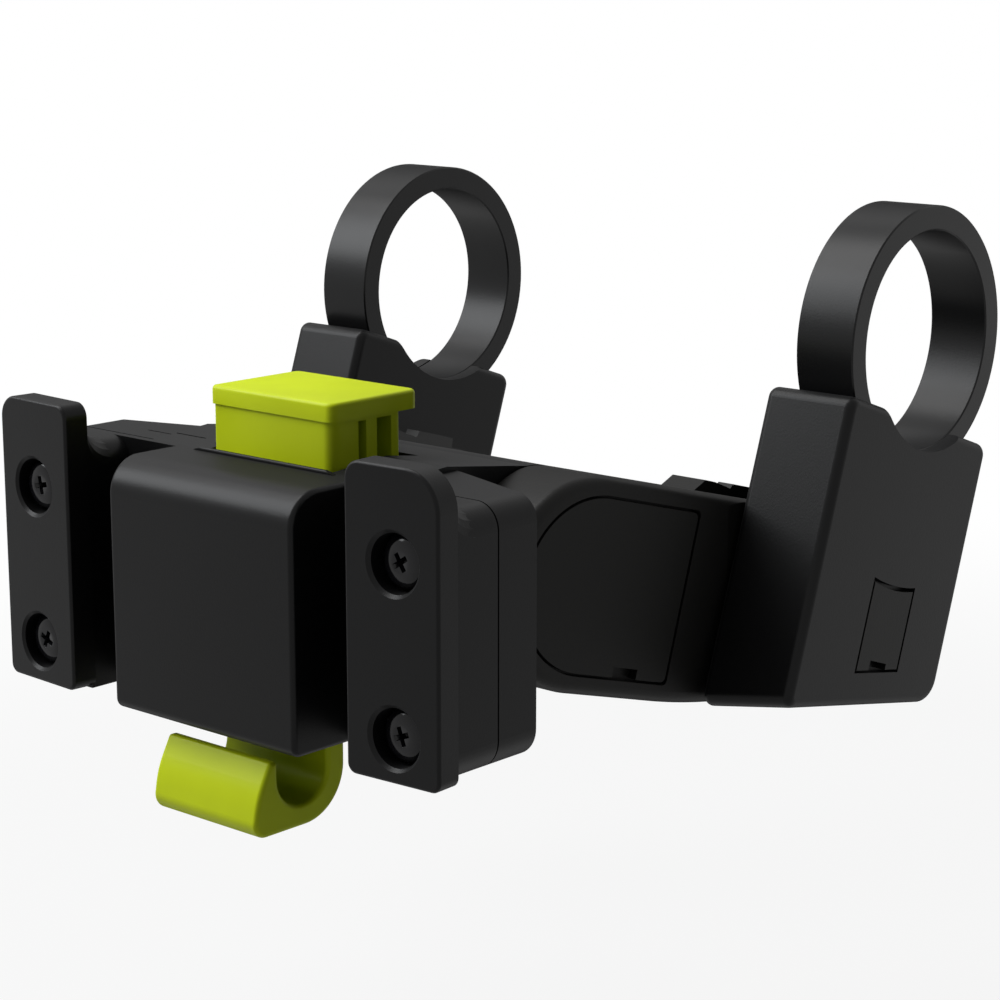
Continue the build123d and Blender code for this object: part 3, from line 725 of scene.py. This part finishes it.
# %% Block cover, first shape
pivot_along = 0.0010
block_cover_t = 0.0015
block_cover_half = 0.00545 - rim_play
block_cover_top = -0.0358
foot_front = -0.04887 + rim_play
foot_rear = -0.04742 + rim_play
block_cover = block(
    "block_cover",
    (pivot_along - block_cover_half, foot_front, -block_cover_t),
    (pivot_along + block_cover_half, block_cover_top, 0),
)
bpy.ops.object.mode_set(mode="EDIT")
bpy.ops.mesh.select_mode(type="EDGE")
select_edges(
    block_cover.data,
    lambda a, b: max(a.y, b.y) < foot_front + tolerance and min(a.x, b.x) > pivot_along,
)
bpy.ops.transform.translate(value=(0, foot_rear - foot_front, 0))
bpy.ops.object.mode_set(mode="OBJECT")
print("block cover, foot raised by", round(foot_rear - foot_front, 5))

# %% [markdown]
# The top edge is a little hollow. A wide cylinder cuts it, and its radius follows from the width of
# the cover and the depth of the hollow. Then comes the notch for the fingernail.

# %% Hollow and notch of the block cover
dish = 0.0005
block_notch_half = 0.00215
block_notch_top = -0.04684
block_cover_rim = 0.0002
dish_r = (block_cover_half**2 + dish**2) / (2 * dish)
dish_middle = block_cover_top - dish + dish_r
bpy.ops.object.select_all(action="DESELECT")
bpy.ops.mesh.primitive_cylinder_add(
    vertices=256, radius=dish_r, depth=4 * block_cover_t, location=(pivot_along, dish_middle, 0)
)
dish_tool = bpy.context.object
bpy.ops.object.transform_apply(location=True, rotation=True, scale=True)
combine(block_cover, dish_tool, "DIFFERENCE")
notch_low = (pivot_along - block_notch_half, foot_front - 4 * past, -2 * block_cover_t)
notch_high = (pivot_along + block_notch_half, block_notch_top, past)
combine(block_cover, block("notch_tool", notch_low, notch_high), "DIFFERENCE")
break_rim(block_cover, block_cover_rim)
print("block cover faces:", len(block_cover.data.polygons), "dish radius:", round(dish_r, 4))

# %% [markdown]
# One cover serves both sides. The left one is the mirror image, and a mirrored mesh is inside out,
# so its faces are turned round again. Weighted normals keep the large flat face flat in the light
# while the small bevel round it stays soft.

# %% Helper that fits a pair of covers
def fit_pair(master, word, place, bodies):
    """Fit a cover to the right side and its mirror image to the left."""
    for side, flip in (("right", 1), ("left", -1)):
        piece = bpy.data.objects.new(f"{side}_{word}_lid", master.data.copy())
        bpy.context.scene.collection.objects.link(piece)
        piece.data.transform(Matrix.Scale(flip, 4, (1, 0, 0)) @ place)
        bpy.ops.object.select_all(action="DESELECT")
        piece.select_set(True)
        bpy.context.view_layer.objects.active = piece
        if flip < 0:
            bpy.ops.object.mode_set(mode="EDIT")
            bpy.ops.mesh.select_all(action="SELECT")
            bpy.ops.mesh.flip_normals()
            bpy.ops.object.mode_set(mode="OBJECT")
        bpy.ops.object.shade_smooth_by_angle(angle=smooth_angle)
        flat = piece.modifiers.new("flat", "WEIGHTED_NORMAL")
        flat.keep_sharp = True
        apply_new(piece, flat)
        piece.data.materials.clear()
        piece.data.materials.append(cover_black)
        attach(piece, bodies[side])
        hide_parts(f"{side}_{word}_cover")
        print(piece.name, "lowest corner", [round(v, 4) for v in piece.bound_box[0]])
    bpy.data.objects.remove(master)


# %% [markdown]
# The arms turn outward by 10 degrees and fall by 14.6 degrees towards the rear, and the blocks lean
# by 18.8 degrees. Each cover lies on its back so far. Three axes and one point carry it to its
# place, with its face level with the pocket's mouth.

# %% Covers in place
arm_splay = radians(10.0)
arm_slope = radians(14.6)
tilt_spot = Vector((0.0353, -0.0550709, -0.0290157))
along_arm = Vector(
    (sin(arm_splay) * cos(arm_slope), cos(arm_splay) * cos(arm_slope), -sin(arm_slope))
).normalized()
out_of_arm = Vector((cos(arm_splay), -sin(arm_splay), 0))
across_arm = out_of_arm.cross(along_arm).normalized()
arm_axes = Matrix((along_arm, across_arm, out_of_arm)).transposed().to_4x4()
arm_place = Matrix.Translation(tilt_spot) @ arm_axes
fit_pair(arm_cover, "arm", arm_place, {"right": "arms", "left": "arms"})

block_lean = radians(18.8)
block_face = 0.0546
along_block = Vector((0, cos(block_lean), -sin(block_lean)))
across_block = Vector((0, sin(block_lean), cos(block_lean)))
block_axes = Matrix((along_block, across_block, Vector((1, 0, 0)))).transposed().to_4x4()
block_place = Matrix.Translation((block_face, 0, 0)) @ block_axes
fit_pair(block_cover, "block", block_place, {"right": "right_clamp", "left": "left_clamp"})

# %% [markdown]
# ## Return spring
# The spring under the button is hidden, but it has to shorten when the button goes down. It is one
# small circle of wire, carried round an axis by the screw modifier, once for each turn.

# %% Coil of wire
spring_low, spring_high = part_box("return_spring")
wire_r = 0.00042
coil_turns = 5
top_play = 0.00005
coil_r = (spring_high[0] - spring_low[0]) / 2 - wire_r
coil_y = (spring_low[1] + spring_high[1]) / 2
coil_h = spring_high[2] - spring_low[2]
bpy.ops.object.select_all(action="DESELECT")
bpy.ops.mesh.primitive_circle_add(
    vertices=12, radius=wire_r, location=(coil_r, 0, 0), rotation=(pi / 2, 0, 0)
)
coil = bpy.context.object
coil.name = "button_spring"
bpy.ops.object.transform_apply(location=True, rotation=True, scale=True)
winding = coil.modifiers.new("winding", "SCREW")
winding.screw_offset = (coil_h - 2 * wire_r - top_play) / coil_turns
winding.iterations = coil_turns
winding.steps = 32
apply_new(coil, winding)
coil.data.transform(Matrix.Translation((0, coil_y, spring_low[2] + wire_r)))
bpy.ops.object.mode_set(mode="EDIT")
bpy.ops.mesh.select_all(action="SELECT")
bpy.ops.mesh.fill_holes(sides=12)
bpy.ops.mesh.normals_make_consistent(inside=False)
bpy.ops.object.mode_set(mode="OBJECT")
bpy.ops.object.shade_smooth_by_angle(angle=radians(40))
print("coil radius", round(coil_r, 5), "height", round(coil_h, 5), "faces:", len(coil.data.polygons))

# %% [markdown]
# The coil gets the spring wire finish, rides with the body and takes the place of the solid of the
# spring, with a mesh of its own.

# %% Spring in place
coil.data.materials.clear()
coil.data.materials.append(wire)
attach(coil, "body")
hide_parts("return_spring")
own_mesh(coil)

# %% [markdown]
# ## Dress the solids
# Each solid keeps its shape and gets the finish of its piece. The words in a node's name say what
# it is, so a short table from word to finish dresses both sides at once.

# %% Finishes by piece
finishes = {
    "shell_screw": screw_black,
    "strap_screw": screw_black,
    "arm_cover": cover_black,
    "block_cover": cover_black,
    "clamp_ring": ring_black,
    "clamp_block": housing_black,
    "shell": housing_black,
    "arm": arm_black,
    "push_button": lime,
    "release_hook": lime,
    "spring": wire,
    "bolt": zinc,
    "nut": zinc,
}
for name, node in nodes.items():
    finish = next(look for word, look in finishes.items() if word in name)
    if not node.data.materials:
        node.data.materials.append(finish)
    for slot in node.material_slots:
        slot.material = finish
print("dressed:", len(nodes))
